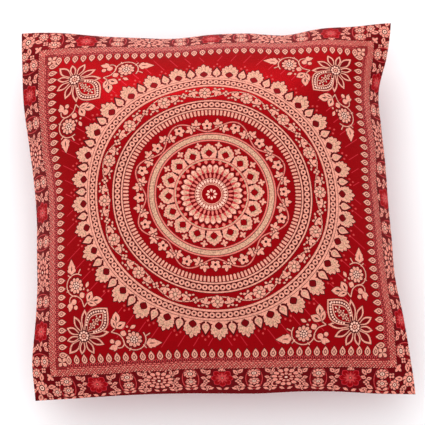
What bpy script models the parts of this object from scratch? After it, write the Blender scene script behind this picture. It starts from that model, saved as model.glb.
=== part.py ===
"""A square filled cushion that lies on its back, with its woven face up.

Two square panels are sewn together round all four sides and filled. The filling lifts each panel into a
crown, which pulls the sides in between the corners and leaves the corners as thin flat ears. Short folds
run inwards from the seam, where the sides have more cloth than they need.

Metres, +Z up. +Y is the top of the design on the face. The origin is on the floor, under the middle.
"""

import math

import bmesh
import bpy
from mathutils import Vector

# The filling.
CROWN = 0.060  # height of the face's middle above the seam
BACK_CROWN = 0.060  # how deep the back would hang below the seam if nothing pressed on it
SEAM_HEIGHT = 0.049  # the seam above the floor
SEAM_THICKNESS = 0.0030  # two folded edges of cloth, one on the other
FLOOR_ROUNDING = 0.007  # how softly the back turns up from the floor

# The crown's section from its middle to the seam.
SEAM_SLOPE = math.radians(60)  # the face's slope where it meets the seam, at the middle of a side
SLOPE_POWER = 2.0  # the higher, the flatter the middle and the fuller the sides
SECTION_STEPS = 64
EAR_POWER = 1.4  # the higher, the sooner the crown's section flattens towards the ears

# How far each side's seam lies from the middle, in metres, at even steps along it from -1 to 1. The sides
# are drawn in between the ears, and each ear reaches out by its own amount.
SEAMS = {
    "left": (0.194, 0.196, 0.1925, 0.190, 0.190, 0.190, 0.193, 0.198, 0.203, 0.2045, 0.206),
    "right": (0.200, 0.196, 0.191, 0.1845, 0.183, 0.181, 0.180, 0.1775, 0.1765, 0.187, 0.193),
    "near": (0.196, 0.1965, 0.1955, 0.195, 0.1955, 0.197, 0.1985, 0.198, 0.1995, 0.203, 0.204),
    "far": (0.207, 0.203, 0.197, 0.193, 0.190, 0.1925, 0.192, 0.188, 0.1935, 0.1945, 0.199),
}
EAR_DROOP = 0.009  # an ear's tip hangs this far below the rest of the seam
EAR_REACH = 0.30  # share of the half side that droops

# A fold runs in from the seam. along and width are shares of the half side, and length is the share of the
# way from the seam to the middle. depth is in metres, and a negative depth is a ridge.
FOLD_COLUMNS = ("side", "along", "width", "depth", "length")
FOLDS = (
    ("left", 0.30, 0.090, 0.0060, 0.42),
    ("left", 0.10, 0.100, -0.0030, 0.36),
    ("left", -0.34, 0.085, 0.0040, 0.34),
    ("left", -0.70, 0.060, 0.0035, 0.30),
    ("right", 0.60, 0.120, 0.0045, 0.36),
    ("right", 0.27, 0.090, 0.0045, 0.40),
    ("right", 0.09, 0.085, -0.0030, 0.38),
    ("right", -0.40, 0.080, 0.0040, 0.32),
    ("right", -0.62, 0.090, 0.0035, 0.30),
    ("far", -0.52, 0.085, 0.0040, 0.30),
    ("far", -0.22, 0.075, 0.0045, 0.32),
    ("far", 0.10, 0.080, -0.0025, 0.30),
    ("far", 0.40, 0.085, 0.0045, 0.32),
    ("near", -0.56, 0.080, 0.0035, 0.28),
    ("near", -0.30, 0.085, 0.0040, 0.32),
    ("near", 0.22, 0.075, -0.0025, 0.28),
    ("near", 0.50, 0.080, 0.0035, 0.30),
)
BACK_FOLD_SHARE = 0.6  # the back's folds are this much as deep as the face's

GRID = 38  # cells along each side of a panel

CLOTH_COLOUR = (0.52, 0.012, 0.022, 1.0)
CLOTH_ROUGHNESS = 0.55


def section_table():
    """For evenly spaced shares of the way from the middle to the seam, how far the section reaches outwards
    and how far it has dropped, both as shares of the cloth's half side."""
    reach, drop = [0.0], [0.0]
    for step in range(SECTION_STEPS):
        slope = SEAM_SLOPE * ((step + 0.5) / SECTION_STEPS) ** SLOPE_POWER
        reach.append(reach[-1] + math.cos(slope) / SECTION_STEPS)
        drop.append(drop[-1] + math.sin(slope) / SECTION_STEPS)
    return reach, drop


REACH, DROP = section_table()


def read(table, share):
    """A table's value at this share of its length, from 0 to 1."""
    place = min(max(share, 0.0), 1.0) * (len(table) - 1)
    low = min(int(place), len(table) - 2)
    return table[low] + (table[low + 1] - table[low]) * (place - low)


def smooth_read(table, share):
    """A table's value at this share of its length, on a curve through the values."""
    place = min(max(share, 0.0), 1.0) * (len(table) - 1)
    low = min(int(place), len(table) - 2)
    before, start, end, after = (table[min(max(low + step, 0), len(table) - 1)] for step in (-1, 0, 1, 2))
    t = place - low
    bend = 2.0 * before - 5.0 * start + 4.0 * end - after
    twist = 3.0 * (start - end) + after - before
    return start + 0.5 * t * (end - before + t * (bend + t * twist))


def lift(share):
    """The crown's height at this share of the way from the middle to the seam: 1, then 0 at the seam."""
    return 1.0 - read(DROP, abs(share)) / DROP[-1]


def place(along, across, low_side, high_side):
    """Where cloth share along ends up, in metres, on the line at share across between two opposite seams."""
    low = smooth_read(SEAMS[low_side], (across + 1.0) / 2)
    high = smooth_read(SEAMS[high_side], (across + 1.0) / 2)
    section = math.copysign(read(REACH, abs(along)), along) / REACH[-1]
    share = along + (section - along) * lift(across) ** EAR_POWER
    return (low + high) / 2 * share + (high - low) / 2 * share * share


def fold_frame(side, u, v):
    """For a side of the panel, the share of the way from the middle towards it and the share along it."""
    return {"left": (-u, v), "right": (u, v), "near": (-v, u), "far": (v, u)}[side]


def fold_depth(u, v):
    """How deep the folds are here."""
    depth = 0.0
    for row in FOLDS:
        fold = dict(zip(FOLD_COLUMNS, row))
        towards, along = fold_frame(fold["side"], u, v)
        across = math.exp(-(((along - fold["along"]) / fold["width"]) ** 2))
        inside = max(0.0, 1.0 - max(0.0, 1.0 - towards) / fold["length"])
        fade = inside * inside * (3.0 - 2.0 * inside)
        rim = min(1.0, (1.0 - towards) / 0.10)  # a fold flattens as it enters the seam
        depth += fold["depth"] * across * fade * rim
    return depth


def seam_height(u, v):
    """The seam's height above the floor, lower at the ears."""
    ear = max(0.0, (min(abs(u), abs(v)) - (1.0 - EAR_REACH)) / EAR_REACH)
    return SEAM_HEIGHT - EAR_DROOP * ear * ear


def on_floor(height):
    """The height, rounded off to rest flat on the floor where it would go below it."""
    if height >= FLOOR_ROUNDING:
        return height
    if height <= -FLOOR_ROUNDING:
        return 0.0
    return (height + FLOOR_ROUNDING) ** 2 / (4.0 * FLOOR_ROUNDING)


def panel_point(u, v, face):
    """Where the point of a panel at cloth shares (u, v) lies. face is True for the woven face."""
    x = place(u, v, "left", "right")
    y = place(v, u, "near", "far")
    fold = fold_depth(u, v)
    rise = lift(u) * lift(v)
    seam = seam_height(u, v)
    if face:
        return Vector((x, y, seam + SEAM_THICKNESS / 2 + CROWN * rise - fold))
    return Vector((x, y, on_floor(seam - SEAM_THICKNESS / 2 - BACK_CROWN * rise + fold * BACK_FOLD_SHARE)))


def panel_grid(mesh, face):
    """One panel's points in the mesh, row by row."""
    shares = [2.0 * step / GRID - 1.0 for step in range(GRID + 1)]
    return [[mesh.verts.new(panel_point(u, v, face)) for u in shares] for v in shares]


def rim_of(grid):
    """A panel's outer points in order, anticlockwise from above."""
    near, far = grid[0], grid[-1][::-1]
    right = [row[-1] for row in grid[1:-1]]
    left = [row[0] for row in grid[1:-1]][::-1]
    return near + right + far + left


def fill_panel(mesh, grid, face):
    """The panel's faces, wound so that they look outwards."""
    for low, high in zip(grid, grid[1:]):
        for step in range(GRID):
            corners = [low[step], low[step + 1], high[step + 1], high[step]]
            mesh.faces.new(corners if face else corners[::-1])


def sew(mesh, face_grid, back_grid):
    """Joins the two panels along their rims with the seam's narrow band."""
    face_rim, back_rim = rim_of(face_grid), rim_of(back_grid)
    for step in range(len(face_rim)):
        after = (step + 1) % len(face_rim)
        mesh.faces.new((face_rim[after], face_rim[step], back_rim[step], back_rim[after]))


def centre_on_origin(mesh):
    """Moves the points so that the middle of the cushion's outline is over the origin."""
    for axis in (0, 1):
        places = [vert.co[axis] for vert in mesh.verts]
        middle = (min(places) + max(places)) / 2
        for vert in mesh.verts:
            vert.co[axis] -= middle


def cloth_material():
    material = bpy.data.materials.new("brocade_cloth")
    material.use_nodes = True
    shader = material.node_tree.nodes["Principled BSDF"]
    shader.inputs["Base Color"].default_value = CLOTH_COLOUR
    shader.inputs["Roughness"].default_value = CLOTH_ROUGHNESS
    shader.inputs["Metallic"].default_value = 0.0
    return material


def build_cushion():
    """The filled cushion as one closed solid."""
    mesh = bmesh.new()
    face_grid = panel_grid(mesh, True)
    back_grid = panel_grid(mesh, False)
    fill_panel(mesh, face_grid, True)
    fill_panel(mesh, back_grid, False)
    sew(mesh, face_grid, back_grid)
    centre_on_origin(mesh)
    data = bpy.data.meshes.new("cushion")
    mesh.to_mesh(data)
    mesh.free()
    data.shade_smooth()
    data.materials.append(cloth_material())
    cushion = bpy.data.objects.new("cushion", data)
    bpy.context.scene.collection.objects.link(cushion)
    return cushion


for leftover in list(bpy.data.objects):
    bpy.data.objects.remove(leftover)
build_cushion()
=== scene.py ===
"""A square filled cushion in woven satin brocade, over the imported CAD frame.

The cloth of both panels is settled by a cloth simulation that starts from the CAD shape. The woven design is
drawn flat, as outlines in millimetres of cloth, and cut into the face panel's mesh, so each thread colour has
its own triangles. Metres, +Z up. +Y is the top of the design.
"""

import cmath
import math

import bpy
import numpy as np
from mathutils import Matrix, Vector
from mathutils.geometry import delaunay_2d_cdt


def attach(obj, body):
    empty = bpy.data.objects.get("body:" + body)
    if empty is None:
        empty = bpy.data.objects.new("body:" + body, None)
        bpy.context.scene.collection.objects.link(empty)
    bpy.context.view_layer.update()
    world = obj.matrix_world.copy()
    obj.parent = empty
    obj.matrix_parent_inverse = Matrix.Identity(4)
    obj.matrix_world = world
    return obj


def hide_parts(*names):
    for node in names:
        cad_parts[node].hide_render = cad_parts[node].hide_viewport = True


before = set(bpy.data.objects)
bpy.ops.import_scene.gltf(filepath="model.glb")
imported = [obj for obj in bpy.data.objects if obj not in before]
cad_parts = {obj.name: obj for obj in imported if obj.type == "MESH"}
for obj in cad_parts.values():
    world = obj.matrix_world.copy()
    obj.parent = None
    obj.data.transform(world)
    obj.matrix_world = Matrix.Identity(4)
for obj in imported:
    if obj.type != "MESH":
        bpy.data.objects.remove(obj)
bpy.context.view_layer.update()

# The CAD shape of the panels, as in the part's source.
CROWN = 0.060
BACK_CROWN = 0.060
SEAM_HEIGHT = 0.049
FLOOR_ROUNDING = 0.007
SEAM_SLOPE = math.radians(60)
SLOPE_POWER = 2.0
SECTION_STEPS = 64
EAR_POWER = 1.4
EAR_DROOP = 0.009
EAR_REACH = 0.30
BACK_FOLD_SHARE = 0.6
CAD_GRID = 38
SEAMS = {
    "left": (0.194, 0.196, 0.1925, 0.190, 0.190, 0.190, 0.193, 0.198, 0.203, 0.2045, 0.206),
    "right": (0.200, 0.196, 0.191, 0.1845, 0.183, 0.181, 0.180, 0.1775, 0.1765, 0.187, 0.193),
    "near": (0.196, 0.1965, 0.1955, 0.195, 0.1955, 0.197, 0.1985, 0.198, 0.1995, 0.203, 0.204),
    "far": (0.207, 0.203, 0.197, 0.193, 0.190, 0.1925, 0.192, 0.188, 0.1935, 0.1945, 0.199),
}
FOLDS = (
    ("left", 0.30, 0.090, 0.0060, 0.42),
    ("left", 0.10, 0.100, -0.0030, 0.36),
    ("left", -0.34, 0.085, 0.0040, 0.34),
    ("left", -0.70, 0.060, 0.0035, 0.30),
    ("right", 0.60, 0.120, 0.0045, 0.36),
    ("right", 0.27, 0.090, 0.0045, 0.40),
    ("right", 0.09, 0.085, -0.0030, 0.38),
    ("right", -0.40, 0.080, 0.0040, 0.32),
    ("right", -0.62, 0.090, 0.0035, 0.30),
    ("far", -0.52, 0.085, 0.0040, 0.30),
    ("far", -0.22, 0.075, 0.0045, 0.32),
    ("far", 0.10, 0.080, -0.0025, 0.30),
    ("far", 0.40, 0.085, 0.0045, 0.32),
    ("near", -0.56, 0.080, 0.0035, 0.28),
    ("near", -0.30, 0.085, 0.0040, 0.32),
    ("near", 0.22, 0.075, -0.0025, 0.28),
    ("near", 0.50, 0.080, 0.0035, 0.30),
)

# The cloth.
CLOTH_HALF = 0.206  # half the side of a flat panel
CELLS = 90  # cells along each side of the simulated panels
RIM_CELLS = 120  # cells along each side of the finished panels
SIM_FRAMES = 24
CAP = 0.010  # how far a point of the cloth may move from the CAD shape
CLOTH_MASS = 2.5  # kilograms, shared by all the simulated points
CLEARANCE = 0.001  # between the cloth and the floor, and from the middle of the cut cloth to each panel
FLOOR_GRIP = 20.0
NORMAL_STEP = 0.006  # the share of the cloth over which a panel's normals are taken
CLOTH_SETTINGS = {
    "quality": 6,
    "tension_stiffness": 15.0,
    "compression_stiffness": 15.0,
    "shear_stiffness": 5.0,
    "bending_stiffness": 0.05,
    "tension_damping": 5.0,
    "compression_damping": 5.0,
    "shear_damping": 5.0,
    "bending_damping": 0.5,
    "air_damping": 3.0,
    "use_pressure": True,
    "uniform_pressure_force": 3.0,
    "use_pressure_volume": True,
    "pressure_factor": 300.0,  # how strongly the filling keeps its volume
    "vertex_group_mass": "seam",
}

# Thread colours in even light, the share of matt gilt thread, and how speckled the weave looks.
INKS = {
    "satin": ((141, 2, 9), 0.0, 0.0),
    "frame": ((96, 2, 8), 0.1, 0.2),
    "wine": ((110, 2, 8), 0.1, 0.0),
    "gloom": ((74, 4, 6), 0.3, 0.0),
    "shade": ((42, 4, 4), 0.5, 0.0),
    "ray": ((184, 34, 46), 0.3, 0.0),
    "hatch": ((128, 26, 28), 0.7, 1.0),
    "coral": ((190, 60, 60), 0.7, 0.6),
    "pink": ((214, 112, 100), 0.9, 0.4),
    "rose": ((224, 136, 120), 1.0, 0.6),
    "gold": ((221, 148, 128), 1.0, 0.5),
    "pale": ((240, 184, 164), 1.0, 0.2),
    "beige": ((196, 148, 122), 1.0, 0.9),
}
INK_NAMES = tuple(INKS)
EDGE_WEIGHT = 1.3  # how heavy the dark edges round the gilt shapes are
SATIN_GLOSS = 0.75  # how far satin reflects in its own red, as the metallic value
SATIN_FINISH = {
    "Specular IOR Level": 0.25,
    "Specular Tint": (1.0, 0.30, 0.30, 1.0),
    "Sheen Weight": 0.03,
    "Sheen Roughness": 0.4,
    "Sheen Tint": (1.0, 0.45, 0.45, 1.0),
}

# The design's sizes as drawn, in millimetres, and how often its motifs repeat.
FRAME_HALF = 168.6  # to the middle of a row of drops
BAND_OUTER = 184.6
BAND_INNER = 170.4
MEDALLION_RADIUS = 152.0  # to the tips of the palmettes
RING_OUTER = 157.5
RING_INNER = 102.9
DROP_PITCH = 160.7 / 18
BORDER_PITCH = 33.6
PALMETTES = 32
ROSETTES = 16
RAYS = 30

# Where the square and the round part lie on the cloth, in millimetres: the shift of the middle, how far
# half the width and half the height reach, and how far the sides are bowed or the middle lines are bent.
FRAME_SHIFT = (2.2, 1.2)
FRAME_REACH = (169.0, 164.2)
FRAME_SKEW = (-0.95, 0.5)
SIDE_BOW = 1.4
FOOT_BOW = 3.8
MEDALLION_SHIFT = 0.4 - 2.3j
MEDALLION_REACH = (150.3, -4.7 + 142.7j)
MEDALLION_BEND = (3.1 + 0.7j, -1.9 + 1.8j)
SPRAY_SHIFT = -1.4 - 1.5j  # how far all the corner sprays lie to the left and down

# The fields of the woven face, from the seam inwards. Each is a piece of its own.
FACE_FIELDS = (
    "cushion_face_border",
    "cushion_face_band",
    "cushion_face_ground",
    "cushion_face_ring",
    "cushion_face_medallion",
)

# The camera.
CAMERA_AZIMUTH = 13.8
CAMERA_ELEVATION = 75.4
CAMERA_ROLL = 15.8
CAMERA_DISTANCE = 2.4
CAMERA_LENS = 193.1
SENSOR_WIDTH = 36.0
LOOK_AT = (0.003, -0.0015, 0.049)
LOOK_AT_PIXEL = (215.8, 208.5)
PHOTO_SIDE = 425


def section_table():
    """The section's reach and drop at even shares of the cloth from the middle to the seam."""
    slopes = SEAM_SLOPE * ((np.arange(SECTION_STEPS) + 0.5) / SECTION_STEPS) ** SLOPE_POWER
    reach = np.concatenate(([0.0], np.cumsum(np.cos(slopes)))) / SECTION_STEPS
    drop = np.concatenate(([0.0], np.cumsum(np.sin(slopes)))) / SECTION_STEPS
    return reach, drop


REACH, DROP = section_table()


def read(table, share):
    """A table's value at this share of its length, from 0 to 1."""
    return np.interp(share, np.linspace(0.0, 1.0, len(table)), table)


def between(before, start, end, after, t):
    """A smooth curve from start to end."""
    bend = 2.0 * before - 5.0 * start + 4.0 * end - after
    twist = 3.0 * (start - end) + after - before
    return start + 0.5 * t * (end - before + t * (bend + t * twist))


def smooth_read(table, share):
    """A table's value at this share of its length, on a curve through the values."""
    table = np.array(table)
    spot = np.clip(share, 0.0, 1.0) * (len(table) - 1)
    low = np.minimum(spot.astype(int), len(table) - 2)
    values = [table[np.clip(low + step, 0, len(table) - 1)] for step in (-1, 0, 1, 2)]
    return between(*values, spot - low)


def lift(share):
    """The crown's height at this share of the way from the middle to the seam: 1, then 0 at the seam."""
    return 1.0 - read(DROP, np.abs(share)) / DROP[-1]


def place(along, across, low_side, high_side):
    """Where cloth share along ends up on the line at share across between two opposite seams."""
    low = smooth_read(SEAMS[low_side], (across + 1.0) / 2)
    high = smooth_read(SEAMS[high_side], (across + 1.0) / 2)
    section = np.copysign(read(REACH, np.abs(along)), along) / REACH[-1]
    share = along + (section - along) * lift(across) ** EAR_POWER
    return (low + high) / 2 * share + (high - low) / 2 * share * share


def fold_depth(u, v):
    """How deep the folds are here."""
    frames = {"left": (-u, v), "right": (u, v), "near": (-v, u), "far": (v, u)}
    depth = np.zeros_like(u)
    for side, middle, width, deep, length in FOLDS:
        towards, along = frames[side]
        across = np.exp(-(((along - middle) / width) ** 2))
        inside = np.maximum(0.0, 1.0 - np.maximum(0.0, 1.0 - towards) / length)
        rim = np.minimum(1.0, (1.0 - towards) / 0.10)
        depth += deep * across * inside * inside * (3.0 - 2.0 * inside) * rim
    return depth


def on_floor(height):
    """The height, rounded off to rest flat on the floor where it would go below it."""
    rounded = (height + FLOOR_ROUNDING) ** 2 / (4.0 * FLOOR_ROUNDING)
    return np.where(height >= FLOOR_ROUNDING, height, np.where(height <= -FLOOR_ROUNDING, 0.0, rounded))


def cad_panel(u, v, face):
    """The points of a panel at cloth shares u and v, before the outline is centred on the origin."""
    ear = np.maximum(0.0, (np.minimum(np.abs(u), np.abs(v)) - (1.0 - EAR_REACH)) / EAR_REACH)
    seam = SEAM_HEIGHT - EAR_DROOP * ear * ear
    rise = lift(u) * lift(v)
    fold = fold_depth(u, v)
    if face:
        height = seam + CROWN * rise - fold
    else:
        height = on_floor(seam - BACK_CROWN * rise + fold * BACK_FOLD_SHARE)
    return np.stack((place(u, v, "left", "right"), place(v, u, "near", "far"), height), -1)


def shares(cells):
    """The cloth shares of a grid's points, as two square arrays: u across and v up."""
    steps = np.linspace(-1.0, 1.0, cells + 1)
    return np.meshgrid(steps, steps)


def cad_shift():
    """How far the CAD model was moved to centre its outline."""
    points = cad_panel(*shares(CAD_GRID), True)[..., :2].reshape(-1, 2)
    return np.append((points.min(0) + points.max(0)) / 2, 0.0)


def new_mesh(name, points, faces):
    data = bpy.data.meshes.new(name)
    data.vertices.add(len(points))
    data.vertices.foreach_set("co", np.asarray(points, np.float32).ravel())
    corners = np.asarray(faces, np.int32)
    data.loops.add(corners.size)
    data.loops.foreach_set("vertex_index", corners.ravel())
    data.polygons.add(len(corners))
    data.polygons.foreach_set("loop_start", np.arange(0, corners.size, corners.shape[1], dtype=np.int32))
    data.update(calc_edges=True)
    data.validate()
    return data


def new_object(data):
    piece = bpy.data.objects.new(data.name, data)
    bpy.context.scene.collection.objects.link(piece)
    return piece


def coordinates(data):
    points = np.empty(len(data.vertices) * 3, np.float32)
    data.vertices.foreach_get("co", points)
    return points.reshape(-1, 3).astype(float)


def grid_faces(ids, upwards):
    """The faces of a grid of point numbers."""
    quads = np.stack((ids[:-1, :-1], ids[:-1, 1:], ids[1:, 1:], ids[1:, :-1]), -1).reshape(-1, 4)
    return quads if upwards else quads[:, ::-1]


def volume_under(points):
    """The volume between a panel's grid of points and the floor."""
    low, high = points[:-1], points[1:]
    diagonals = high[:, 1:] - low[:, :-1], high[:, :-1] - low[:, 1:]
    area = (diagonals[0][..., 0] * diagonals[1][..., 1] - diagonals[0][..., 1] * diagonals[1][..., 0]) / 2
    height = (low[:, :-1] + low[:, 1:] + high[:, :-1] + high[:, 1:])[..., 2] / 4
    return float(np.sum(area * height))


def pillow_mesh(face_points, back_points):
    """Both panels as one closed mesh that shares its rim, and the point numbers of each panel."""
    count = CELLS + 1
    face_ids = np.arange(count * count).reshape(count, count)
    back_ids = face_ids.copy()
    inner = (CELLS - 1) ** 2
    back_ids[1:-1, 1:-1] = count * count + np.arange(inner).reshape(CELLS - 1, CELLS - 1)
    points = np.concatenate((face_points.reshape(-1, 3), back_points[1:-1, 1:-1].reshape(-1, 3)))
    faces = np.concatenate((grid_faces(face_ids, True), grid_faces(back_ids, False)))
    return new_mesh("pillow", points, faces), face_ids, back_ids


def settle(face_points, back_points):
    """Lets the cloth of both panels settle over the filling, with the seam held where it is."""
    data, face_ids, back_ids = pillow_mesh(face_points, back_points)
    pillow = new_object(data)
    start = coordinates(data)

    flat_u, flat_v = shares(CELLS)
    flat = np.stack((CLOTH_HALF * flat_u, CLOTH_HALF * flat_v, np.full_like(flat_u, SEAM_HEIGHT)), -1)
    cut_points = np.concatenate((flat.reshape(-1, 3), flat[1:-1, 1:-1].reshape(-1, 3)))
    cut_points[face_ids[1:-1, 1:-1].ravel(), 2] += CLEARANCE
    cut_points[back_ids[1:-1, 1:-1].ravel(), 2] -= CLEARANCE
    pillow.shape_key_add(name="settled")
    cut = pillow.shape_key_add(name="cut")
    cut.data.foreach_set("co", cut_points.astype(np.float32).ravel())
    cut.value = 0.0

    held = pillow.vertex_groups.new(name="seam")
    rim = np.concatenate((face_ids[0], face_ids[-1], face_ids[1:-1, 0], face_ids[1:-1, -1]))
    held.add([int(number) for number in rim], 1.0, "REPLACE")

    bpy.ops.mesh.primitive_plane_add(size=2.0, location=(0.0, 0.0, 0.0))
    ground = bpy.context.object
    ground.modifiers.new("collision", "COLLISION")
    ground.collision.thickness_outer = CLEARANCE
    ground.collision.cloth_friction = FLOOR_GRIP

    cloth = pillow.modifiers.new("cloth", "CLOTH")
    for setting, value in CLOTH_SETTINGS.items():
        setattr(cloth.settings, setting, value)
    cloth.settings.mass = CLOTH_MASS / len(start)
    cloth.settings.target_volume = volume_under(face_points) - volume_under(back_points)
    cloth.settings.rest_shape_key = cut
    cloth.collision_settings.distance_min = CLEARANCE
    cloth.collision_settings.use_self_collision = False

    scene = bpy.context.scene
    scene.frame_start, scene.frame_end = 1, SIM_FRAMES
    cloth.point_cache.frame_end = SIM_FRAMES
    for moment in range(1, SIM_FRAMES + 1):
        scene.frame_set(moment)
    view = bpy.context.evaluated_depsgraph_get()
    moved = coordinates(pillow.evaluated_get(view).data) - start
    scene.frame_set(1)
    scene.frame_end = 1
    bpy.data.objects.remove(pillow)
    bpy.data.objects.remove(ground)

    distance = np.linalg.norm(moved, axis=1, keepdims=True)
    settled = start + moved * np.minimum(1.0, CAP / np.maximum(distance, 1e-9))
    settled[:, 2] = np.maximum(settled[:, 2], 0.0)
    return settled[face_ids], settled[back_ids]


def sample(grid, u, v):
    """The point of a panel's grid at cloth shares u and v, on a smooth surface through the grid."""
    last = len(grid) - 1
    spots = [(np.clip(share, -1.0, 1.0) + 1.0) / 2 * last for share in (u, v)]
    lows = [np.minimum(spot.astype(int), last - 1) for spot in spots]
    t_u, t_v = [(spot - low)[..., None] for spot, low in zip(spots, lows)]
    rows = []
    for step_v in (-1, 0, 1, 2):
        row = np.clip(lows[1] + step_v, 0, last)
        points = [grid[row, np.clip(lows[0] + step_u, 0, last)] for step_u in (-1, 0, 1, 2)]
        rows.append(between(*points, t_u))
    return between(*rows, t_v)


def sample_normals(grid, u, v, upwards):
    """The outward normals of a panel at cloth shares u and v."""
    step = NORMAL_STEP
    across = sample(grid, np.minimum(u + step, 1.0), v) - sample(grid, np.maximum(u - step, -1.0), v)
    along = sample(grid, u, np.minimum(v + step, 1.0)) - sample(grid, u, np.maximum(v - step, -1.0))
    normals = np.cross(across, along) * (1.0 if upwards else -1.0)
    return normals / np.linalg.norm(normals, axis=-1, keepdims=True)


# The woven design, in millimetres of flat cloth, as complex numbers: real to the right and imaginary to the
# top. A shape is an ink and a closed outline, and later shapes are woven over earlier ones.


def turned(degrees):
    return cmath.rect(1.0, math.radians(degrees))


def ellipse(centre, across, along=None, turn=0.0, points=12):
    angles = np.arange(points) * (2 * np.pi / points)
    outline = across * np.cos(angles) + 1j * (along or across) * np.sin(angles)
    return centre + outline * turned(turn)


def petal(root, tip, width, belly=0.5, points=5):
    """A leaf-shaped outline that is pointed at both ends. belly is where along it it is widest."""
    share = np.linspace(0.0, 1.0, points + 2)
    half = np.sin(np.pi * share ** (math.log(0.5) / math.log(belly))) * width / 2
    axis = tip - root
    side = 1j * axis / abs(axis)
    left = root + axis * share + side * half
    right = root + axis * share - side * half
    return np.concatenate((right, left[-2:0:-1]))


def drop(root, tip, width, points=11):
    """An outline that is round at its root and comes to a point at its tip."""
    axis = (tip - root) / abs(tip - root)
    centre = root + axis * width / 2
    first = math.acos(width / 2 / abs(tip - centre))
    angles = np.linspace(first, 2 * np.pi - first, points)
    return np.concatenate((centre + axis * width / 2 * np.exp(1j * angles), [tip]))


def smooth(knots, steps=5):
    """A curve through the knots."""
    knots = np.array(knots, complex)
    padded = np.concatenate((knots[:1] * 2 - knots[1:2], knots, knots[-1:] * 2 - knots[-2:-1]))
    curve = []
    for before, start, end, after in zip(padded, padded[1:], padded[2:], padded[3:]):
        curve.append(between(before, start, end, after, np.arange(steps) / steps))
    return np.append(np.concatenate(curve), knots[-1])


def scroll(centre, first_radius, first_degrees, last_radius, last_degrees, points=10):
    """A stem that winds round a centre, with degrees counted anticlockwise from the right."""
    radii = np.linspace(first_radius, last_radius, points)
    return centre + radii * np.exp(1j * np.radians(np.linspace(first_degrees, last_degrees, points)))


def stroke(curve, width):
    """The outline of a line of this width along the curve."""
    ahead = np.roll(curve, -1) - np.roll(curve, 1)
    ahead[0], ahead[-1] = curve[1] - curve[0], curve[-1] - curve[-2]
    side = 1j * ahead / np.abs(ahead) * width / 2
    return np.concatenate((curve + side, (curve - side)[::-1]))


def grown(outline, by):
    """The outline moved outwards."""
    area = np.sum(outline.real * np.roll(outline.imag, -1) - np.roll(outline.real, -1) * outline.imag)
    before, after = outline - np.roll(outline, 1), np.roll(outline, -1) - outline
    before, after = before / np.abs(before), after / np.abs(after)
    across = before + after
    across = across / np.maximum(np.abs(across), 1e-9)
    stretch = np.maximum((across.conj() * after).real, 0.55)
    return outline - 1j * across * by * np.sign(area) / stretch


def edged(shapes, by):
    """The shapes with a thin dark edge round each of them."""
    return [("shade", grown(outline, by * EDGE_WEIGHT)) for _, outline in shapes] + shapes


def parted(shapes, by):
    """The shapes with an edge round each of them that also parts it from the shape before."""
    return [part for shape in shapes for part in edged([shape], by)]


def placed(shapes, at, turn=0.0, mirror=False):
    """The shapes turned so that their up direction points to turn degrees from up, and moved to at."""
    spin = turned(turn)
    return [(ink, at + spin * (-outline.conj() if mirror else outline)) for ink, outline in shapes]


def gold(*outlines):
    return [("gold", outline) for outline in outlines]


def gilt(*outlines, edge=0.4):
    """Gold shapes with a thin dark edge round each of them."""
    return edged(gold(*outlines), edge)


def star(reach, width, belly=0.5, points=5, edge=0.4):
    """Four petals at right angles."""
    return gilt(*(petal(0, reach * 1j * turned(90 * k), width, belly, points) for k in range(4)), edge=edge)


def fan(centre, rows, width, belly, ink="gold"):
    """Petals that spread from a centre. rows holds (degrees from up, length), each for both sides."""
    outlines = []
    for degrees, length in rows:
        for side in (1, -1) if degrees % 180 else (1,):
            outlines.append((ink, petal(centre, centre + length * 1j * turned(side * degrees), width, belly)))
    return outlines


def palmette():
    """A crowned palmette of the outer ring, 21 mm tall from its base at 0."""
    crown = fan(8.0j, ((0, 13.6), (27, 11.6), (54, 10.6), (81, 9.8), (107, 8.4)), 4.3, 0.76)
    body = gold(ellipse(8.0j, 7.4, 6.8, points=16), np.array([-8.2 - 1j, 8.2 - 1j, 6.2 + 5j, -6.2 + 5j]))
    glow = fan(8.0j, ((0, 11.0), (27, 9.6), (54, 8.8), (81, 7.8)), 3.0, 0.75, "beige")
    hole = [("shade", petal(1.2j, 10.4j, 8.6, 0.5, 7)), ("wine", petal(2.0j, 9.6j, 7.2, 0.5, 7))]
    return edged(crown + body, 0.6) + glow, hole


def raindrop():
    """The dark gap between two palmettes, and the drop that hangs in it."""
    gap = [("gloom", drop(0.9j, 17.8j, 11.8))]
    bead = gold(drop(3.2j, 15.0j, 7.8), ellipse(2.0j, 0.8, 1.5, points=8))
    return gap, bead + [("beige", drop(4.6j, 12.6j, 4.6))]


def sprig():
    """Three coral dots above a raindrop."""
    dots = ((0, 6.4), (-3.2, 2.4), (3.2, 2.4))
    return [("coral", petal(x + y * 1j - 1.5j, x + y * 1j + 1.5j, 2.2)) for x, y in dots]


def rosette(radius):
    """A flower of eight round petals with a ringed eye."""
    size = radius / 6.4
    petals = [ellipse(4.1j * size * turned(45 * k), 2.3 * size, 2.35 * size, 45 * k, 10) for k in range(8)]
    eye = [("shade", ellipse(0, 2.3 * size)), ("beige", ellipse(0, 1.8 * size))]
    return parted(gold(*petals), 0.42) + eye + [("pale", ellipse(0, 0.8 * size, points=8))]


def small_flower(radius):
    size = radius / 3.7
    petals = [ellipse(2.0j * size * turned(90 * k), 1.5 * size, 1.75 * size, 90 * k, 8) for k in range(4)]
    return parted(gold(*petals), 0.38) + [("shade", ellipse(0, size, points=8))]


def ivy(length, spread, width):
    """A leaf with three pointed lobes and two small ones at its root."""
    lobes = gold(petal(0, length * 1j, width, 0.62))
    for side in (1, -1):
        upper, lower = turned(side * spread), turned(side * spread * 1.9)
        lobes += gold(petal(0.14j * length, 0.14j * length + 0.68j * length * upper, width * 0.85, 0.64, 4))
        lobes += gold(petal(0.02j * length, 0.02j * length + 0.46j * length * lower, width * 0.66, 0.64, 4))
    return lobes


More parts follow.
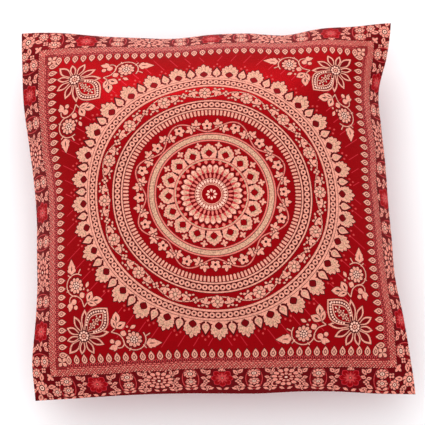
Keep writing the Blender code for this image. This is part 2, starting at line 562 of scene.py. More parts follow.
def trefoil():
    """The flower of the leaf ring: a pointed petal, two side petals, two at the foot, and a dark eye."""
    petals = fan(4.6j, ((0, 7.0), (64, 5.8), (132, 5.2)), 4.0, 0.6)
    return edged(petals + gold(ellipse(4.6j, 2.9)), 0.45) + [("shade", ellipse(4.5j, 1.4, 1.5, points=10))]


def lotus():
    """A palmette of the inner ring, 15 mm tall, with a four-lobed hole."""
    crown = fan(6.4j, ((0, 10.0), (29, 8.6), (56, 8.8), (83, 9.0), (112, 8.2)), 4.8, 0.76)
    body = gold(ellipse(6.4j, 7.0, 6.4, points=14), np.array([-6.4, 6.4, 7.2 + 5.0j, -7.2 + 5.0j]))
    glow = fan(6.4j, ((0, 8.0), (29, 7.2), (56, 7.2), (83, 7.2)), 2.8, 0.72, "beige")
    hole = []
    for ink, reach, radius in (("shade", 4.7, 3.5), ("satin", 4.0, 2.9)):
        hole += [(ink, petal(6.0j - reach * side, 6.0j + reach * side, 3.8)) for side in (1, 1j)]
        hole += [(ink, ellipse(6.0j, radius))]
    return edged(crown + body, 0.4) + glow + hole


def around(shapes, count, radius, start=0.0):
    """Copies of the shapes round the middle, pointing outwards. start is in degrees clockwise from up."""
    ring = []
    for k in range(count):
        turn = -(start + 360 * k / count)
        ring += placed(shapes, radius * 1j * turned(turn), turn)
    return ring


def polar(degrees, radius):
    """The place at this many degrees clockwise from up."""
    return radius * 1j * turned(-degrees)


def disc(radius, ink):
    return [(ink, ellipse(0, radius, points=max(24, int(radius * 1.3) // 8 * 8)))]


def bead_band(outer, inner, count, ring):
    """Small rings side by side on a dark band."""
    middle = (outer + inner) / 2
    beads = [("gold", ellipse(0, ring, points=10)), ("shade", ellipse(0, ring * 0.42, points=7))]
    return disc(outer, "gloom") + around(beads, count, middle)


def mandala():
    shapes = []
    # The outer ring of palmettes and raindrops.
    gap, bead = raindrop()
    body, hole = palmette()
    half_turn = 180 / PALMETTES
    shapes += around(body, PALMETTES, 130.6) + disc(134.4, "gold") + around(hole, PALMETTES, 130.6)
    shapes += around(gap, PALMETTES, 130.8, half_turn) + around(bead, PALMETTES, 130.8, half_turn)
    shapes += around(sprig(), PALMETTES, 145.6, half_turn)
    shapes += disc(131.4, "shade") + disc(130.9, "gold")
    shapes += bead_band(128.6, 121.6, 128, 2.95)
    shapes += disc(121.6, "gold") + disc(119.4, "shade") + disc(118.9, "satin")
    # The ring of rosettes on a waving vine.
    vine = np.array([polar(t, 111.4 - 5.4 * math.cos(math.radians(8 * t))) for t in np.arange(0, 360, 1.5)])
    for low in range(0, 240, 30):
        piece = vine[np.arange(low, low + 31) % 240]
        shapes += gilt(stroke(piece, 1.1), edge=0.35)
    leaf = edged(ivy(8.8, 60, 3.7), 0.4)
    twig = gilt(petal(-1.5j, 1.6j, 2.0), edge=0.35)
    for k in range(ROSETTES):
        start = 360 / ROSETTES * k
        sign = 1 if k % 2 else -1
        for side in (1, -1):
            lean = side * 14 if sign > 0 else 180 - side * 14
            shapes += placed(leaf, polar(start + side * 6.4, 111.2 - sign * 3.8), -start + lean)
            shapes += placed(twig, polar(start + side * 9.4, 111.4 - sign * 5.2), -start + 60 * side)
    shapes += around(rosette(6.5), ROSETTES, 111.0)
    shapes += around(small_flower(3.5), ROSETTES, 111.2, 180 / ROSETTES)
    # The inner lines, beads and teeth.
    shapes += disc(RING_INNER, "shade") + disc(102.3, "gold")
    shapes += bead_band(100.8, 93.2, 102, 2.9)
    shapes += disc(93.2, "gold") + disc(91.6, "shade")
    tooth = np.array([-1.15 + 5.8j, -1.15 + 0.9j, -0.6, 0.6, 1.15 + 0.9j, 1.15 + 5.8j])
    shapes += disc(91.0, "satin") + around(gilt(tooth, edge=0.35), 144, 85.0)
    # The ring of leaves and flowers.
    vine_leaf = edged(ivy(8.2, 58, 3.4), 0.35)
    rise = [(t, 67.0 + 14.2 * math.sin(math.radians(4.0 * t)) ** 2) for t in np.arange(0.0, 23.0, 1.5)]
    for k in range(8):
        start = 45.0 * k
        for side in (1, -1):
            curve = np.array([polar(start + side * t, r) for t, r in rise])
            shapes += edged([("pink", stroke(curve, 1.3))], 0.35)
            shapes += placed(vine_leaf, polar(start + side * 8.8, 73.4), -start + side * 2)
            shapes += placed(vine_leaf, polar(start + side * 12.0, 72.2), -start - side * 114)
        shapes += placed(trefoil(), polar(start, 68.6), -start)
        shapes += placed(trefoil(), polar(start + 22.5, 79.6), 180 - start - 22.5)
    # The plain band.
    shapes += disc(66.0, "shade") + disc(65.6, "pink") + disc(64.0, "shade") + disc(63.4, "beige")
    shapes += disc(58.8, "shade") + disc(58.2, "pink") + disc(56.6, "shade") + disc(56.1, "satin")
    # The lotus ring.
    half_turn = 180 / ROSETTES
    shapes += around(star(3.9, 2.5, points=4, edge=0.3), ROSETTES, 52.4, half_turn)
    shapes += around(lotus(), ROSETTES, 37.6)
    shapes += around([("shade", stroke(np.array([0, 9.0j]), 0.8))], ROSETTES, 37.6, half_turn)
    # The sun in the middle.
    shapes += disc(38.6, "shade") + disc(38.2, "pink") + disc(37.3, "beige")
    shapes += disc(36.2, "shade") + disc(35.8, "satin")
    half_turn = 180 / RAYS
    shapes += around([("pink", petal(-3.0j, 1.6j, 3.4))], RAYS, 35.0, half_turn)
    zigzag = np.array([polar(half_turn * k, 30.8 if k % 2 else 33.9) for k in range(2 * RAYS)])
    shapes += [("gloom", zigzag)] + disc(28.6, "coral")
    ray_petal = [("wine", petal(-0.6j, 12.2j, 6.2, 0.7)), ("gold", petal(0, 11.6j, 5.5, 0.7))]
    ray_petal += [("beige", petal(0.4j, 9.0j, 3.0, 0.5, 3)), ("pale", ellipse(9.4j, 1.3, 1.1, points=7))]
    shapes += around(ray_petal, RAYS, 20.2)
    shapes += disc(23.0, "wine") + around([("pink", petal(-1.2j, 6.4j, 2.3, 0.5, 3))], RAYS, 16.9)
    shapes += disc(17.4, "shade") + disc(16.9, "gold") + disc(16.2, "wine")
    shapes += around([("pale", ellipse(0, 1.25, 1.9, points=8))], RAYS, 14.2)
    shapes += disc(12.2, "gold") + disc(11.4, "gloom") + disc(10.9, "gold") + disc(10.0, "satin")
    shapes += around([("pale", petal(-1.9j, 1.9j, 2.5, 0.6, 4))], 8, 3.9)
    return shapes + [("gloom", ellipse(0, 1.2, points=8))]


def leafy_bud():
    """The corner's open flower, with its tip up: a beaded bud, nine hollow sepals and a beaded cup."""
    shapes = []
    sepals = ((180, 26, 9.6), (147, 20.5, 6.8), (109, 22, 7.6), (70, 24, 7.8), (39, 28.5, 7.6))
    for degrees, length, width in sepals:
        for side in (1, -1) if degrees < 180 else (1,):
            tip = length * 1j * turned(side * degrees)
            root = 3.0j * turned(side * degrees)
            outer = petal(root, tip, width, 0.58, 8)
            inner = petal(root + 0.10 * tip, 0.88 * tip, width - 3.0, 0.58, 8)
            shapes += [("shade", grown(outer, 0.5)), ("gold", outer), ("shade", inner)]
            shapes += [("wine", grown(inner, -0.35))]
    outline, groove = petal(0, 40.0j, 26.0, 0.56, 14), petal(1.6j, 38.0j, 23.4, 0.56, 14)
    band, core = petal(4.6j, 33.6j, 15.4, 0.54, 12), petal(6.2j, 31.2j, 12.8, 0.53, 10)
    shapes += [("shade", grown(outline, 0.5)), ("gold", outline), ("gloom", groove), ("gold", band)]
    shapes += [("shade", grown(core, 0.4)), ("satin", core)]
    track = petal(3.0j, 35.8j, 19.4, 0.55, 14)
    closed = np.append(track, track[0])
    lengths = np.append(0, np.cumsum(np.abs(np.diff(closed))))
    beads = 28
    for step in range(beads):
        share = (step + 0.5) / beads * lengths[-1]
        spot = np.interp(share, lengths, closed.real) + 1j * np.interp(share, lengths, closed.imag)
        if spot.imag > 9:
            shapes += [("pale", ellipse(spot, 1.12, points=7))]
    shapes += [("gold", stroke(np.array([8.0j, 28.0j]), 0.9))]
    for height, radius in ((12.4, 2.3), (17.6, 2.9), (23.2, 2.6)):
        shapes += placed(small_flower(radius), 1j * height, 45)
        for side in (1, -1):
            spot = 1j * height + (radius + 0.6) * side + 2.4j
            shapes += edged([("pale", ellipse(spot, 0.75, points=7))], 0.3)
    shapes += edged([("pale", ellipse(27.8j, 0.9, 1.3, points=7))], 0.3)
    shapes += [("shade", ellipse(0, 6.6, points=18)), ("gloom", ellipse(0, 6.0, points=16))]
    for k in range(9):
        shapes += [("pale", ellipse(4.3j * turned(40 * k), 1.3, points=8))]
    return shapes + gold(ellipse(0, 2.3)) + [("shade", ellipse(0, 0.9, points=7))]


def beaded_flower():
    """A round flower in a red ring, with a beaded heart."""
    petals = [ellipse(6.0j * turned(36 * k), 1.9, 2.5, 36 * k, 9) for k in range(10)]
    shapes = [("wine", ellipse(0, 9.4, points=24))] + parted(gold(*petals), 0.45)
    shapes += [("shade", ellipse(0, 4.3, points=14))]
    for k in range(7):
        shapes += [("pale", ellipse(2.9j * turned(360 / 7 * k), 1.05, points=7))]
    return shapes + [("pale", ellipse(0, 1.2, points=8))]


def end_leaf():
    """A toothed leaf, 16 mm long from its root at 0, with a dark vein."""
    lobes = gold(petal(0, 16.4j, 8.6, 0.36, 9))
    for side in (1, -1):
        lobes += gold(petal(1.8j, 5.4j + 5.4 * side, 3.6, 0.62, 4))
        lobes += gold(petal(4.6j, 9.4j + 4.4 * side, 3.4, 0.62, 4))
    return edged(lobes, 0.4) + [("shade", petal(3.0j, 9.8j, 1.3, 0.4, 4))]


def leaf_with_eye(length, width):
    eye = petal(0.22j * length, 0.68j * length, 0.24 * width, 0.5, 4)
    return gilt(petal(0, length * 1j, width, 0.5, 7)) + [("shade", eye)]


def leaves_with_eyes(rows):
    """Leaves for rows of (root, degrees from up, length, width)."""
    shapes = []
    for root, turn, length, width in rows:
        shapes += placed(leaf_with_eye(length, width), root, turn)
    return shapes


def corner():
    """The corner spray of the upper right quarter, the same on both sides of the diagonal."""
    flower = 89 + 149j
    loop = smooth([112 + 140j, 104 + 143j, *scroll(flower, 11.0, 0, 12.5, 215)], 3)
    curl = scroll(105 + 152.5j, 5.5, 215, 5.0, 65)
    twigs = (loop, curl, np.array([107 + 136j, 112 + 140j]), np.array([77 + 146j, 72 + 143j]))
    twigs += (np.array([93 + 158j, 95 + 161j]), np.array([80 + 155j, 77 + 159j]))
    half = gilt(*(stroke(twig, 1.15) for twig in twigs))
    leaves = ((106 + 132j, 178, 13, 8.0), (107 + 137j, -162, 12, 5.6), (107 + 136j, 117, 12, 7.6))
    half += leaves_with_eyes(leaves) + gilt(petal(101 + 145j, 98 + 139j, 6.4))
    berries = (ellipse(95 + 135j, 1.25, points=8), ellipse(93 + 140j, 1.45, points=8))
    half += gilt(*berries, petal(92 + 137j, 86 + 134j, 3.6), edge=0.35)
    half += placed(beaded_flower(), flower)
    berries = (ellipse(106 + 152j, 3.1, points=11), ellipse(112 + 150j, 2.4, points=9))
    half += gilt(*berries, petal(106 + 155j, 116 + 158j, 5.4, 0.5, 6), petal(108 + 154j, 111 + 161j, 4.6))
    half += placed(end_leaf(), 77 + 154j, 90)
    shapes = half + [(ink, outline.imag + 1j * outline.real) for ink, outline in half]
    return placed(shapes + placed(leafy_bud(), 142.4 + 142.7j, 135), -3.1 * (1 + 1j))


def border_drop():
    """A drop of the frame that points inwards (up), 11 mm tall, with a ringed gold eye."""
    body = petal(-0.6j, 10.2j, 6.2, 0.42, 8)
    eye = [("shade", petal(1.4j, 7.2j, 3.5, 0.45, 5)), ("gold", petal(2.3j, 6.2j, 2.0, 0.45, 5))]
    return gilt(body, edge=0.5) + eye


def arches(pitch):
    """The lace behind one drop: coral arches with dark gaps, a strip of stitches, and a bead at the side."""

    def strip(low, high):
        return pitch / 2 * np.array([-1, 1, 1, -1]) + 1j * np.array([low, low, high, high])

    shapes = [("gloom", strip(-2.4, 3.0)), ("hatch", strip(-6.2, -1.8))]
    for x in (-0.25 * pitch, 0.25 * pitch):
        shapes += [("coral", ellipse(x - 1.4j, 1.75, 1.7, points=10))]
        shapes += [("gloom", ellipse(x - 1.9j, 0.9, 1.2, points=8))]
        for row in range(2):
            low = x + 0.25 * pitch * row - 1j * (4.4 + 1.9 * row)
            shapes += [("pink", petal(low - 1.7, low + 1.7, 1.3, 0.5, 3))]
    return shapes + [("coral", petal(0.5 * pitch - 0.4j, 0.5 * pitch + 3.2j, 1.8, 0.4, 3))]


def hatching(pitch):
    """A stretch of the stitched band: rows of short stitches on a brick-red ground, slanted in turn."""
    shapes = []
    stitch = np.array([-1.5 - 0.75j, -0.1 - 0.75j, 1.5 + 0.75j, 0.1 + 0.75j])
    for row in range(4):
        for step in range(3):
            at = (step - 1 + 0.5 * (row % 2)) * pitch / 3 - 1j * (6.6 + 1.95 * row)
            ink = "gold" if (step + row) % 3 == 0 else "pink"
            shapes += [(ink, at + (stitch if row % 2 else -stitch.conj()))]
    return shapes


def red_flower():
    """The big crimson flower of the border: petals with faint outlines round a salmon star."""
    shapes = []
    layers = (("gloom", 1.6, 12.8, 8.6, 7), ("ray", 2.0, 12.2, 7.4, 7), ("satin", 2.8, 11.2, 5.8, 6))
    for k in range(8):
        out = 1j * turned(45 * k)
        for ink, root, tip, width, points in layers:
            shapes += [(ink, petal(root * out, tip * out, width, 0.64, points))]
    for k in range(16):
        out = 1j * turned(22.5 * k)
        shapes += [("coral", petal(0.6 * out, (4.8 if k % 2 else 7.6) * out, 1.7, 0.5, 3))]
    return shapes + [("gloom", ellipse(0, 1.6, points=8)), ("pink", ellipse(0, 1.0, points=7))]


def bloom(across, up, petals=9):
    """An open flower of the border: a ruffled oval with a dark ring round its pale heart."""
    ruffle = []
    for out in np.exp(2j * np.pi * np.arange(petals) / petals):
        spot = 0.7 * (across * out.real + 1j * up * out.imag)
        ruffle.append(ellipse(spot, 0.33 * across, 0.33 * up, points=8))
    shapes = parted(gold(*ruffle), 0.5) + gold(ellipse(0, 0.6 * across, 0.6 * up, points=14))
    shapes += [("shade", ellipse(0, 0.5 * across, 0.5 * up)), ("pale", ellipse(0, 0.34 * across, 0.34 * up))]
    return shapes + [("shade", ellipse(0, 0.15 * across, 0.16 * up, points=7))]


def double_rosette():
    """The big rosette of the border: two rings of round petals, and a scroll on each side of it."""
    shapes = []
    for side in (1, -1):
        scrolls = (scroll(10.5 * side + 10j, 4.2, 90 - 150 * side, 2.4, 90 + 90 * side),
                   scroll(11.5 * side - 9j, 4.0, 90, 2.4, 90 - 230 * side))
        shapes += gilt(*(stroke(curve, 1.5) for curve in scrolls), edge=0.45)

    def spread(reach, across, length, count):
        """A ring of petals, drawn out sideways."""
        turns = [360 * k / count for k in range(count)]
        ring = [ellipse(reach * 1j * turned(turn), across, length, turn, 9) for turn in turns]
        return gold(*(1.35 * outline.real + 1j * outline.imag for outline in ring))

    shapes += parted(spread(9.2, 1.9, 2.3, 13), 0.5) + [("wine", ellipse(0, 9.6, 7.1, points=18))]
    shapes += parted(spread(4.6, 1.25, 1.6, 9), 0.35) + [("wine", ellipse(0, 3.8, 2.8, points=10))]
    return shapes + edged([("pale", ellipse(0, 1.7, 1.3, points=8))], 0.4)


def paired_flowers():
    """Two stacked flowers in a dark oval with a fine line round it."""
    oval = [("coral", ellipse(-1.0j, 9.2, 14.6, points=24)), ("wine", ellipse(-1.0j, 8.4, 13.8, points=24))]
    leaves = gilt(*(petal(-12.4j, -10.6j + 6.2j * turned(78 * side), 3.0, 0.6) for side in (1, -1)))
    return oval + leaves + placed(bloom(6.8, 5.2), 6.0j) + placed(bloom(5.8, 4.4, 8), -4.6j)


def border_sprig():
    """The leaves and the small flower between two big flowers of the border, 28 mm tall."""
    stem = gilt(stroke(smooth([-12j, -3 - 4j, 2 + 4j, 12j]), 1.1))
    leaves = ((-9j, -132, 8.0, 4.6), (-6j, 118, 8.4, 4.6), (2j, -72, 6.4, 3.8), (1j, 74, 6.0, 3.8))
    leaves += ((6j, -38, 8.0, 4.4), (8j, 46, 7.4, 4.4), (-12j, 172, 4.6, 3.2))
    return stem + leaves_with_eyes(leaves) + placed(small_flower(3.3), -2.6j)


def border_run():
    """The upper floral border from its middle to the right, up to the corner."""
    flowers = (red_flower, paired_flowers, double_rosette, paired_flowers, red_flower, paired_flowers)
    shapes = []
    for step, flower in enumerate(flowers):
        shapes += placed(flower(), BORDER_PITCH * step + 197.0j, 180)
        if step < len(flowers) - 1:
            shapes += placed(border_sprig(), BORDER_PITCH * (step + 0.5) + 198.5j, 180, step % 2 == 1)
    for middle in (0, 4 * BORDER_PITCH):
        for side in (1, -1):
            shapes += placed(gilt(petal(0, 5.6j, 3.4, 0.55)), middle + 4.0 * side + 187.6j, 118 * side)
        shapes += placed(gilt(petal(-2.2j, 3.4j, 3.6)), middle + 185.9j, 180)
    leaf = gilt(petal(-3.2j, 3.4j, 3.2, 0.55))
    for step in range(24):
        shapes += placed(leaf, 8.4 * step + 4.2 + 211.6j, 90 + (26 if step % 2 else -26))
    return shapes


def border_corner():
    """Where two borders meet, at the upper right: three open flowers, a star, leaves and small flowers."""
    heart = 197.5 + 197.5j
    turns = (28, -28, 84, -84, 140, -140)
    shapes = leaves_with_eyes((heart + 7.0 * turned(45 + turn), turn - 45, 9.4, 5.4) for turn in turns)
    shapes += placed(bloom(8.0, 7.0), heart, 135)
    shapes += placed(star(5.0, 3.2), 185.5 + 185.5j, 45)
    for at, turn in ((181 + 203j, 0), (203 + 181j, 90)):
        shapes += placed(bloom(5.0, 5.6, 8), at, turn)
    for at in (178 + 193j, 193 + 178j, 189 + 209j, 209 + 189j):
        shapes += placed(small_flower(3.2), at, 45)
    return shapes


def rays():
    """Thin slanted lines that spread over the upper ground, away from its middle, from ring to frame."""
    lines = []
    for degrees in np.arange(2.7, 43.0, 5.4):
        for side in (1, -1):
            start = polar(side * degrees, 149.0)
            aim = polar(side * (30.0 + 0.3 * degrees), 1.0)
            length = min((157.5 - start.imag) / aim.imag, (157.5 - abs(start.real)) / abs(aim.real), 30.0)
            lines.append(("ray", stroke(np.array([start, start + aim * length]), 0.8)))
    return lines


def on_square(outline):
    """Where the square part of the design lies on the cloth. Its sides and its foot are bowed."""
    across, up = outline.real / FRAME_HALF, outline.imag / FRAME_HALF
    side_bow = SIDE_BOW * (1 - up * up)
    foot_bow = FOOT_BOW * np.maximum(0.0, -up) ** 2 * np.maximum(0.0, 1 - across * across)
    x = FRAME_SHIFT[0] + side_bow + FRAME_REACH[0] * across + FRAME_SKEW[0] * up
    y = FRAME_SHIFT[1] + foot_bow + FRAME_SKEW[1] * across + FRAME_REACH[1] * up
    return x + 1j * y


def on_medallion(outline):
    """Where the round part of the design lies on the cloth, which is pulled out of square and bowed."""
    across, up = outline.real / MEDALLION_RADIUS, outline.imag / MEDALLION_RADIUS
    bend = MEDALLION_BEND[0] * across**2 + MEDALLION_BEND[1] * up**2
    return MEDALLION_SHIFT + bend + MEDALLION_REACH[0] * across + MEDALLION_REACH[1] * up


def square(half, steps=16):
    """A square's outline, with enough points along its sides to follow their bows."""
    side = np.linspace(-1, 1, steps, endpoint=False) - 1j
    return half * np.concatenate([side * turned(90 * k) for k in range(4)])


def recoloured(shapes, old, new):
    return [(new if ink == old else ink, outline) for ink, outline in shapes]


def design():
    """The woven design on the flat cloth, and the outlines between its fields from the outside in."""
    run = border_run()
    run = recoloured(run + placed(run, 0, mirror=True) + border_corner(), "gold", "rose")
    stitches, lace, drops = [], [], []
    for step in range(-20, 21):
        at = step * DROP_PITCH + 171.2j
        stitches += placed(hatching(DROP_PITCH), at, 180)
        if abs(step) <= 18:
            lace += placed(arches(DROP_PITCH), at, 180)
            drops += placed(border_drop(), at, 180)
    drops += placed(star(6.4, 4.0, 0.6), FRAME_HALF * (1 + 1j), 45)

    def four(shapes):
        return [(ink, outline * turned(90 * k)) for k in range(4) for ink, outline in shapes]

    shapes = [("frame", square(220))] + four(run)
    shapes += [("shade", square(BAND_OUTER)), ("hatch", square(184.0))] + four(stitches) + four(lace)
    shapes += [("satin", square(BAND_INNER))] + four(rays()) + four(drops)
    for side in (1, -1):
        for end in (1, -1):
            spray = [(ink, side * outline.real + end * 1j * outline.imag) for ink, outline in corner()]
            shapes += placed(spray, SPRAY_SHIFT)
    woven = [(ink, on_square(outline)) for ink, outline in shapes]
    woven += [(ink, on_medallion(outline)) for ink, outline in mandala()]
    fields = [on_square(square(BAND_OUTER)), on_square(square(BAND_INNER))]
    fields += [on_medallion(ellipse(0, RING_OUTER, points=160))]
    fields += [on_medallion(outline) for _, outline in disc(RING_INNER, "shade")]
    return woven, fields


def reach(points):
    """How far each point is from the middle, sideways or up and down, whichever is more."""
    return np.maximum(np.abs(points.real), np.abs(points.imag))


def inside(outline, points, order_y):
    """Which of the points, sorted by their height, are inside the outline: a slice and a mask for it."""
    heights = outline.imag
    first, last = np.searchsorted(order_y, (heights.min(), heights.max()))
    odd = np.zeros(last - first, bool)
    ends = np.roll(outline, -1)
    for start, end in zip(outline, ends):
        if start.imag == end.imag:
            continue
        low, high = np.searchsorted(order_y, sorted((start.imag, end.imag)))
        spots = points[low:high]
        slope = (end.real - start.real) / (end.imag - start.imag)
        odd[low - first : high - first] ^= spots.real < start.real + (spots.imag - start.imag) * slope
    return slice(first, last), odd


def woven_triangles(shapes, fields):
    """Cuts the flat panel into triangles along every outline. Returns the points in millimetres, and each
    triangle's corners, ink number and field number."""
    limit = CLOTH_HALF * 1000
    steps = np.linspace(-limit, limit, RIM_CELLS + 1)
    grid = (steps[None, :] + 1j * steps[:, None]).ravel()
    rim = limit * np.array([-1 - 1j, 1 - 1j, 1 + 1j, -1 + 1j])
    outlines = [outline for _, outline in shapes if np.any(reach(outline) < limit)] + fields + [rim]
    points, edges = [grid], []
    count = len(grid)
    for outline in outlines:
        points.append(outline)
        numbers = np.arange(count, count + len(outline))
        edges.append(np.stack((numbers, np.roll(numbers, -1)), -1))
        count += len(outline)
    flat = np.concatenate(points)
    vectors = [Vector((z.real, z.imag)) for z in flat]
    cut = delaunay_2d_cdt(vectors, np.concatenate(edges).tolist(), [], 0, 1e-4, False)
    spots = np.array([(point.x, point.y) for point in cut[0]]) @ np.array([1, 1j])
    triangles = np.array(cut[2], np.int32)
    triangles = triangles[reach(spots[triangles].mean(1)) < limit]
    middles = spots[triangles].mean(1)
    order = np.argsort(middles.imag)
    triangles, middles = triangles[order], middles[order]
    order_y = middles.imag.copy()
    inks = np.full(len(triangles), INK_NAMES.index("frame"))
    for ink, outline in shapes:
        span, odd = inside(outline, middles, order_y)
        inks[span][odd] = INK_NAMES.index(ink)
    field = np.zeros(len(triangles), int)
    for number, outline in enumerate(fields, 1):
        span, odd = inside(outline, middles, order_y)
        field[span][odd] = number
    return spots, triangles, inks, field


def linear(colour):
    """An sRGB colour of 0 to 255 as linear light."""
    share = np.array(colour) / 255
    return np.where(share <= 0.04045, share / 12.92, ((share + 0.055) / 1.055) ** 2.4)


def add_coordinates(data, cloth_points, corner_points):
    """The cloth's own coordinates in metres, and the same scaled to the unit square for baking."""
    corners = cloth_points[corner_points]
    cloth = data.uv_layers.new(name="cloth")
    cloth.data.foreach_set("uv", corners.astype(np.float32).ravel())
    low, high = corners.min(0), corners.max(0)
    unit = 0.004 + 0.992 * (corners - low) / (high - low)
    bake = data.uv_layers.new(name="OFBake")
    bake.data.foreach_set("uv", unit.astype(np.float32).ravel())


def finished(data, grid, u, v, upwards, material):
    """The mesh as a smooth piece with the normals of the panel it lies on."""
    data.shade_smooth()
    data.normals_split_custom_set_from_vertices(sample_normals(grid, u, v, upwards))
    data.materials.append(material)
    return new_object(data)


def face_piece(name, spots, triangles, inks, grid, material):
    """One field of the woven face, on the settled panel."""
    used, corners = np.unique(triangles, return_inverse=True)
    corners = corners.reshape(-1, 3)
    flat = np.stack((spots[used].real, spots[used].imag), -1) / 1000
    u, v = flat.T / CLOTH_HALF
    data = new_mesh(name, sample(grid, u, v), corners)
    colours = np.array([np.append(linear(INKS[ink][0]), INKS[ink][1]) for ink in INK_NAMES])
    thread = data.attributes.new("thread", "FLOAT_COLOR", "CORNER")
    thread.data.foreach_set("color", np.repeat(colours[inks], 3, 0).astype(np.float32).ravel())
    speckles = np.array([INKS[ink][2] for ink in INK_NAMES])
    speckle = data.attributes.new("speckle", "FLOAT", "CORNER")
    speckle.data.foreach_set("value", np.repeat(speckles[inks], 3).astype(np.float32))
    add_coordinates(data, flat, corners.ravel())
    return finished(data, grid, u, v, True, material)


def back_piece(grid, material):
    u, v = shares(RIM_CELLS)
    ids = np.arange(u.size).reshape(u.shape)
    faces = grid_faces(ids, False)
    u, v = u.ravel(), v.ravel()
    points = sample(grid, u, v)
    points[:, 2] = np.maximum(points[:, 2], 0.0)
    data = new_mesh("cushion_back", points, faces)
    add_coordinates(data, np.stack((u, v), -1) * CLOTH_HALF, faces.ravel())
    return finished(data, grid, u, v, False, material)


class Nodes:
    """Adds shader nodes to a material and links them."""

    def __init__(self, name):
        self.material = bpy.data.materials.new(name)
        self.material.use_nodes = True
        self.tree = self.material.node_tree
        self.shader = self.tree.nodes["Principled BSDF"]

    def add(self, kind, values=(), **settings):
        """A node with these settings. values holds each input's name or number, and its value or link."""
        node = self.tree.nodes.new(kind)
        for setting, value in settings.items():
            setattr(node, setting, value)
        for socket, value in values:
            self.fill(node.inputs[socket], value)
        return node

    def fill(self, socket, value):
        if isinstance(value, bpy.types.NodeSocket):
            self.tree.links.new(value, socket)
        else:
            socket.default_value = value

    def noise(self, where, scale, detail=3.0):
        values = (("Vector", where), ("Scale", scale), ("Detail", detail), ("Roughness", 0.6))
        return self.add("ShaderNodeTexNoise", values).outputs["Fac"]

    def math(self, operation, first, second):
        return self.add("ShaderNodeMath", ((0, first), (1, second)), operation=operation).outputs[0]

    def ramp(self, value, low, high, to_low, to_high):
        values = (("Value", value), ("From Min", low), ("From Max", high))
        values += (("To Min", to_low), ("To Max", to_high))
        return self.add("ShaderNodeMapRange", values).outputs["Result"]

    def stretched(self, where, scale):
        return self.add("ShaderNodeMapping", (("Vector", where), ("Scale", scale))).outputs["Vector"]

    def scaled(self, colour, factor):
        values = ((0, colour), ("Scale", factor))
        return self.add("ShaderNodeVectorMath", values, operation="SCALE").outputs["Vector"]

    def satin_finish(self, height):
        """The relief of the threads, and the soft red lustre that both panels share."""
        bump = self.add("ShaderNodeBump", (("Strength", 0.25), ("Distance", 0.0004), ("Height", height)))
        self.fill(self.shader.inputs["Normal"], bump.outputs["Normal"])
        for socket, value in SATIN_FINISH.items():
            self.shader.inputs[socket].default_value = value


def brocade_material():
    """The woven face: smooth red satin, and matt gilt threads where the design is."""
    nodes = Nodes("brocade_face")
    cloth = nodes.add("ShaderNodeUVMap", uv_map="cloth").outputs["UV"]
    thread = nodes.add("ShaderNodeAttribute", attribute_name="thread")
    gilt_share = thread.outputs["Alpha"]
    weft = nodes.noise(nodes.stretched(cloth, (120.0, 2600.0, 1.0)), 1.0, 2.0)
    warp = nodes.noise(nodes.stretched(cloth, (2200.0, 160.0, 1.0)), 1.0, 2.0)
    blotch = nodes.noise(cloth, 26.0)
    tone = nodes.math("ADD", nodes.ramp(weft, 0.3, 0.7, 0.90, 1.10), nodes.ramp(warp, 0.3, 0.7, -0.08, 0.08))
    tone = nodes.math("ADD", tone, nodes.ramp(blotch, 0.3, 0.7, -0.05, 0.05))
    speckle = nodes.add("ShaderNodeAttribute", attribute_name="speckle").outputs["Fac"]
    grain = nodes.ramp(nodes.noise(cloth, 620.0, 1.0), 0.35, 0.65, -0.42, 0.42)
    tone = nodes.math("ADD", tone, nodes.math("MULTIPLY", grain, speckle))
    nodes.fill(nodes.shader.inputs["Base Color"], nodes.scaled(thread.outputs["Color"], tone))
    roughness = nodes.ramp(gilt_share, 0.0, 1.0, 0.36, 0.56)
    roughness = nodes.math("ADD", roughness, nodes.ramp(weft, 0.3, 0.7, -0.05, 0.05))
    nodes.fill(nodes.shader.inputs["Roughness"], roughness)
    nodes.fill(nodes.shader.inputs["Metallic"], nodes.ramp(gilt_share, 0.0, 0.6, SATIN_GLOSS, 0.0))
    nodes.satin_finish(nodes.math("ADD", weft, warp))
    return nodes.material


def back_material():
    """The plain back: heavier crimson satin with fine slubs along the weft."""
    nodes = Nodes("brocade_back")
    cloth = nodes.add("ShaderNodeUVMap", uv_map="cloth").outputs["UV"]
    weft = nodes.noise(nodes.stretched(cloth, (90.0, 2400.0, 1.0)), 1.0, 2.0)
    slub = nodes.noise(nodes.stretched(cloth, (30.0, 700.0, 1.0)), 1.0, 1.0)
    blotch = nodes.noise(cloth, 22.0)
    tone = nodes.math("ADD", nodes.ramp(weft, 0.3, 0.7, 0.88, 1.12), nodes.ramp(slub, 0.35, 0.7, -0.06, 0.10))
    tone = nodes.math("ADD", tone, nodes.ramp(blotch, 0.3, 0.7, -0.06, 0.06))
    base = tuple(linear((158, 8, 24)))
    nodes.fill(nodes.shader.inputs["Base Color"], nodes.scaled(base, tone))
    nodes.fill(nodes.shader.inputs["Roughness"], nodes.ramp(weft, 0.3, 0.7, 0.38, 0.50))
    nodes.shader.inputs["Metallic"].default_value = SATIN_GLOSS
    nodes.satin_finish(weft)
    return nodes.material


def floor_piece():
    data = new_mesh("floor", [(-9, -9, 0), (9, -9, 0), (9, 9, 0), (-9, 9, 0)], [(0, 1, 2, 3)])
    floor = new_object(data)
    nodes = Nodes("floor")
    grain = nodes.noise(nodes.add("ShaderNodeTexCoord").outputs["Object"], 3.0)
    nodes.fill(nodes.shader.inputs["Roughness"], nodes.ramp(grain, 0.3, 0.7, 0.85, 0.95))
    nodes.shader.inputs["Base Color"].default_value = (0.96, 0.955, 0.96, 1.0)
    data.materials.append(nodes.material)


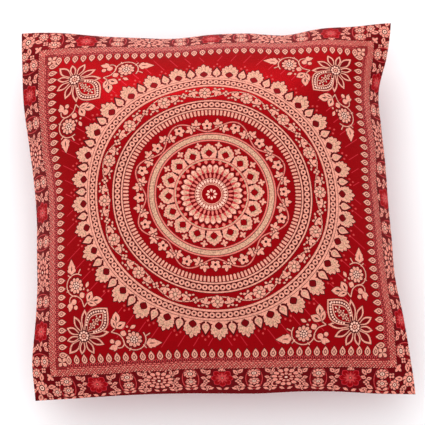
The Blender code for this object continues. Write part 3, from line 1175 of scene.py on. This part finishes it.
def soft_light(name, place_at, aim_at, size, power, colour):
    data = bpy.data.lights.new(name, "AREA")
    data.shape = "RECTANGLE"
    data.size, data.size_y = size
    data.energy = power
    data.color = colour
    light = bpy.data.objects.new(name, data)
    bpy.context.scene.collection.objects.link(light)
    turn = (Vector(aim_at) - Vector(place_at)).to_track_quat("-Z", "Y").to_matrix().to_4x4()
    light.matrix_world = Matrix.Translation(place_at) @ turn


def world_light(strength):
    world = bpy.data.worlds.new("studio")
    bpy.context.scene.world = world
    world.use_nodes = True
    background = world.node_tree.nodes["Background"]
    background.inputs["Color"].default_value = (1.0, 0.99, 1.0, 1.0)
    background.inputs["Strength"].default_value = strength


def photo_camera():
    """The camera at the photograph's angle, with LOOK_AT on its pixel of the 425-pixel square."""
    azimuth, elevation, roll = (math.radians(a) for a in (CAMERA_AZIMUTH, CAMERA_ELEVATION, CAMERA_ROLL))
    level = math.cos(elevation)
    back = Vector((math.sin(azimuth) * level, -math.cos(azimuth) * level, math.sin(elevation)))
    level_right = Vector((math.cos(azimuth), math.sin(azimuth), 0.0))
    level_up = back.cross(level_right)
    right = level_right * math.cos(roll) - level_up * math.sin(roll)
    up = level_right * math.sin(roll) + level_up * math.cos(roll)
    data = bpy.data.cameras.new("camera")
    data.lens = CAMERA_LENS
    data.sensor_width = SENSOR_WIDTH
    focal = CAMERA_LENS / SENSOR_WIDTH * PHOTO_SIDE
    offset_x = (LOOK_AT_PIXEL[0] - PHOTO_SIDE / 2) / focal * CAMERA_DISTANCE
    offset_y = (LOOK_AT_PIXEL[1] - PHOTO_SIDE / 2) / focal * CAMERA_DISTANCE
    camera = bpy.data.objects.new("camera", data)
    bpy.context.scene.collection.objects.link(camera)
    spot = Vector(LOOK_AT) - right * offset_x + up * offset_y + back * CAMERA_DISTANCE
    turn = Matrix((right, up, back)).transposed().to_4x4()
    camera.matrix_world = Matrix.Translation(spot) @ turn
    bpy.context.scene.camera = camera


photo_camera()
floor_piece()
world_light(strength=1.1)
soft_light(
    "key",
    place_at=(-0.5, 2.6, 1.7),
    aim_at=(0.0, 0.05, 0.05),
    size=(3.0, 1.4),
    power=46.0,
    colour=(1.0, 0.98, 0.98),
)
bpy.context.scene.view_settings.view_transform = "Standard"

cad_grid = shares(CELLS)
face_grid = cad_panel(*cad_grid, True) - cad_shift()
back_grid = cad_panel(*cad_grid, False) - cad_shift()
face_grid, back_grid = settle(face_grid, back_grid)

design_shapes, design_fields = design()
spots, triangles, inks, field = woven_triangles(design_shapes, design_fields)
brocade = brocade_material()
pieces = [back_piece(back_grid, back_material())]
for number, name in enumerate(FACE_FIELDS):
    chosen = field == number
    pieces.append(face_piece(name, spots, triangles[chosen], inks[chosen], face_grid, brocade))
for piece in pieces:
    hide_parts("cushion")
    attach(piece, "root")
